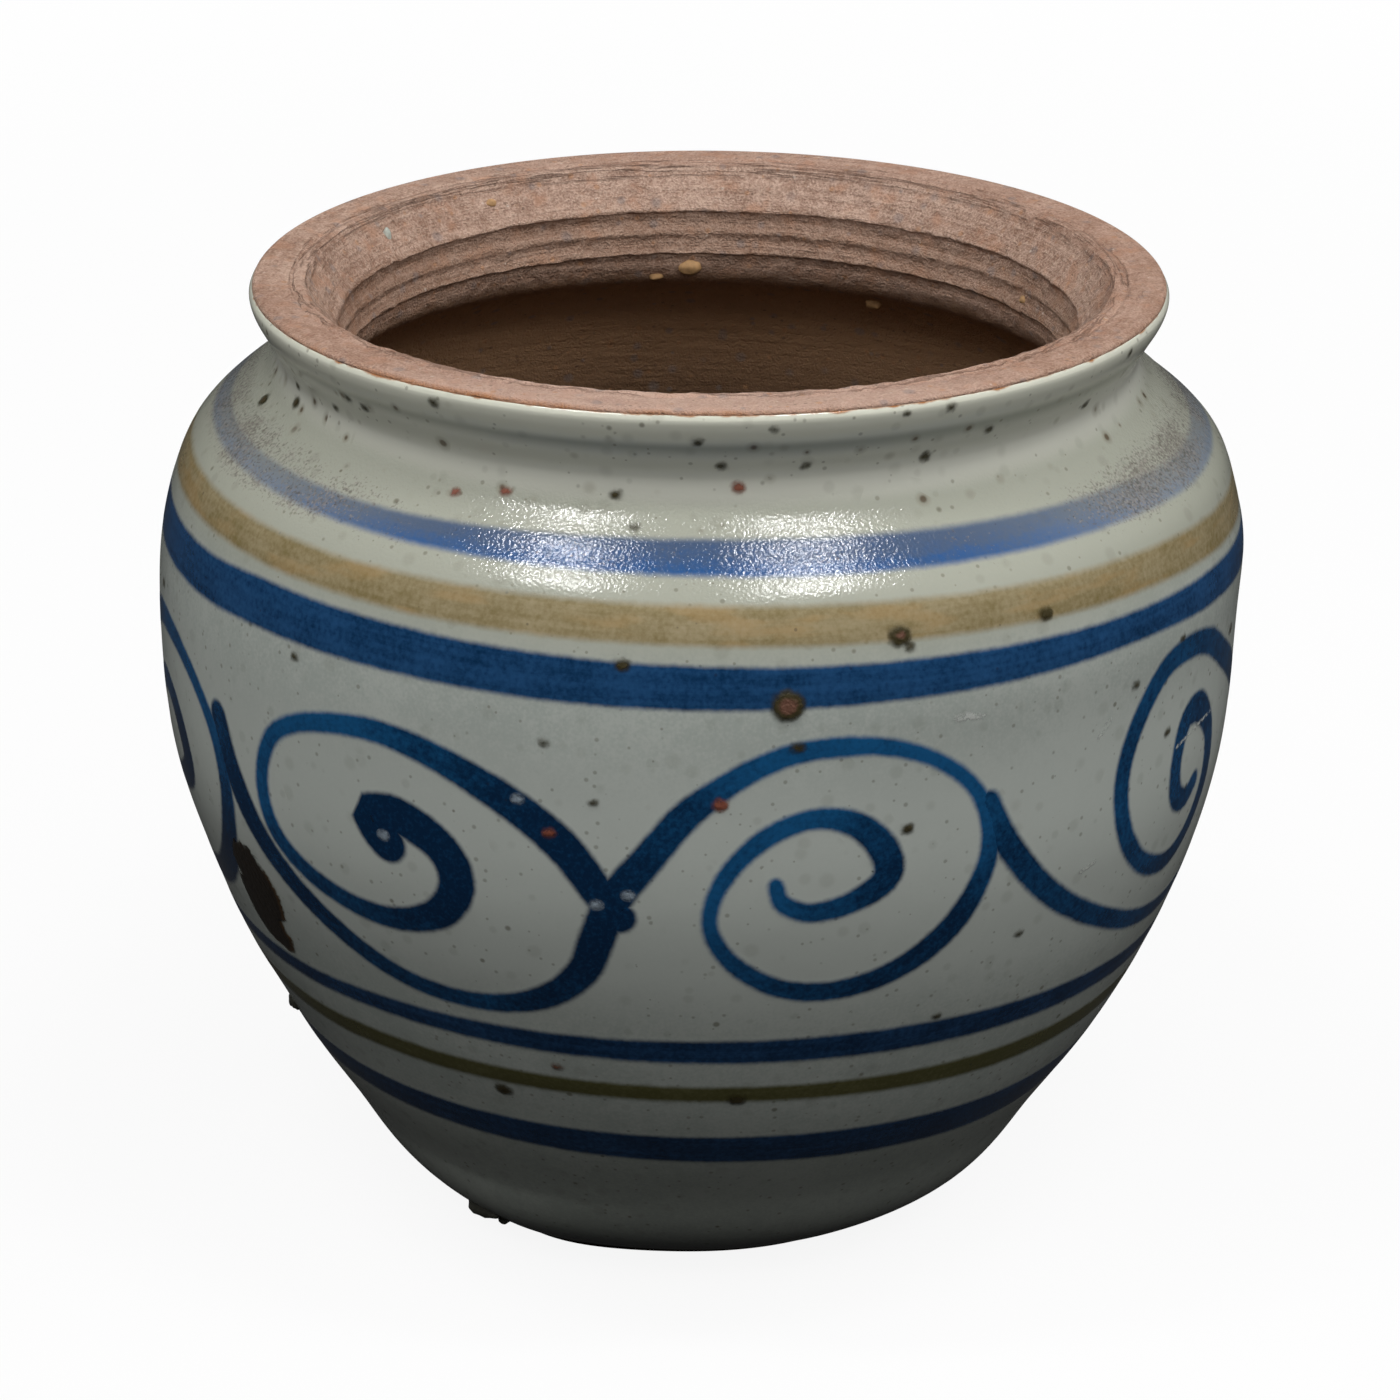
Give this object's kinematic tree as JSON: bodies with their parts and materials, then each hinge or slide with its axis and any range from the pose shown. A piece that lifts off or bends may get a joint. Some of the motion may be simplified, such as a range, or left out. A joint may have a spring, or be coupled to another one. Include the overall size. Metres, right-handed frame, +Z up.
{
  "type": "pottery jar",
  "caption": "Squat wheel-thrown stoneware jar for stores, with a wide mouth, rolled lip and bare stepped rim, grey-green glaze outside, cobalt and iron bands and a brushed running scroll.",
  "frame": {"origin": "centre of the foot ring, on the surface that the jar stands on", "axes": "+Z up along the jar's axis; -Y is the side seen in the picture, +X to the right of it"},
  "size_m": [0.1406, 0.1407, 0.1241],
  "materials": {
    "stoneware": "bare fired clay, gritty and matt",
    "glaze": "grey-green gloss with iron specks",
    "cobalt": "blue brushwork under gloss",
    "iron": "olive-brown brushwork under gloss"
  },
  "bodies": {
    "root": {"stoneware_body": "stoneware", "glaze_coat": "glaze", "shoulder_cobalt_band": "cobalt", "shoulder_iron_band": "iron", "belt_cobalt_band": "cobalt", "lower_cobalt_band": "cobalt", "lower_iron_band": "iron", "foot_cobalt_band": "cobalt", "scroll_left_curl_1": "cobalt", "scroll_sweep_1": "cobalt", "scroll_right_curl_1": "cobalt", "scroll_left_curl_2": "cobalt", "scroll_sweep_2": "cobalt", "scroll_right_curl_2": "cobalt", "scroll_left_curl_3": "cobalt", "scroll_sweep_3": "cobalt", "scroll_right_curl_3": "cobalt", "scroll_left_curl_4": "cobalt", "scroll_sweep_4": "cobalt", "scroll_right_curl_4": "cobalt"}
  },
  "joints": []
}
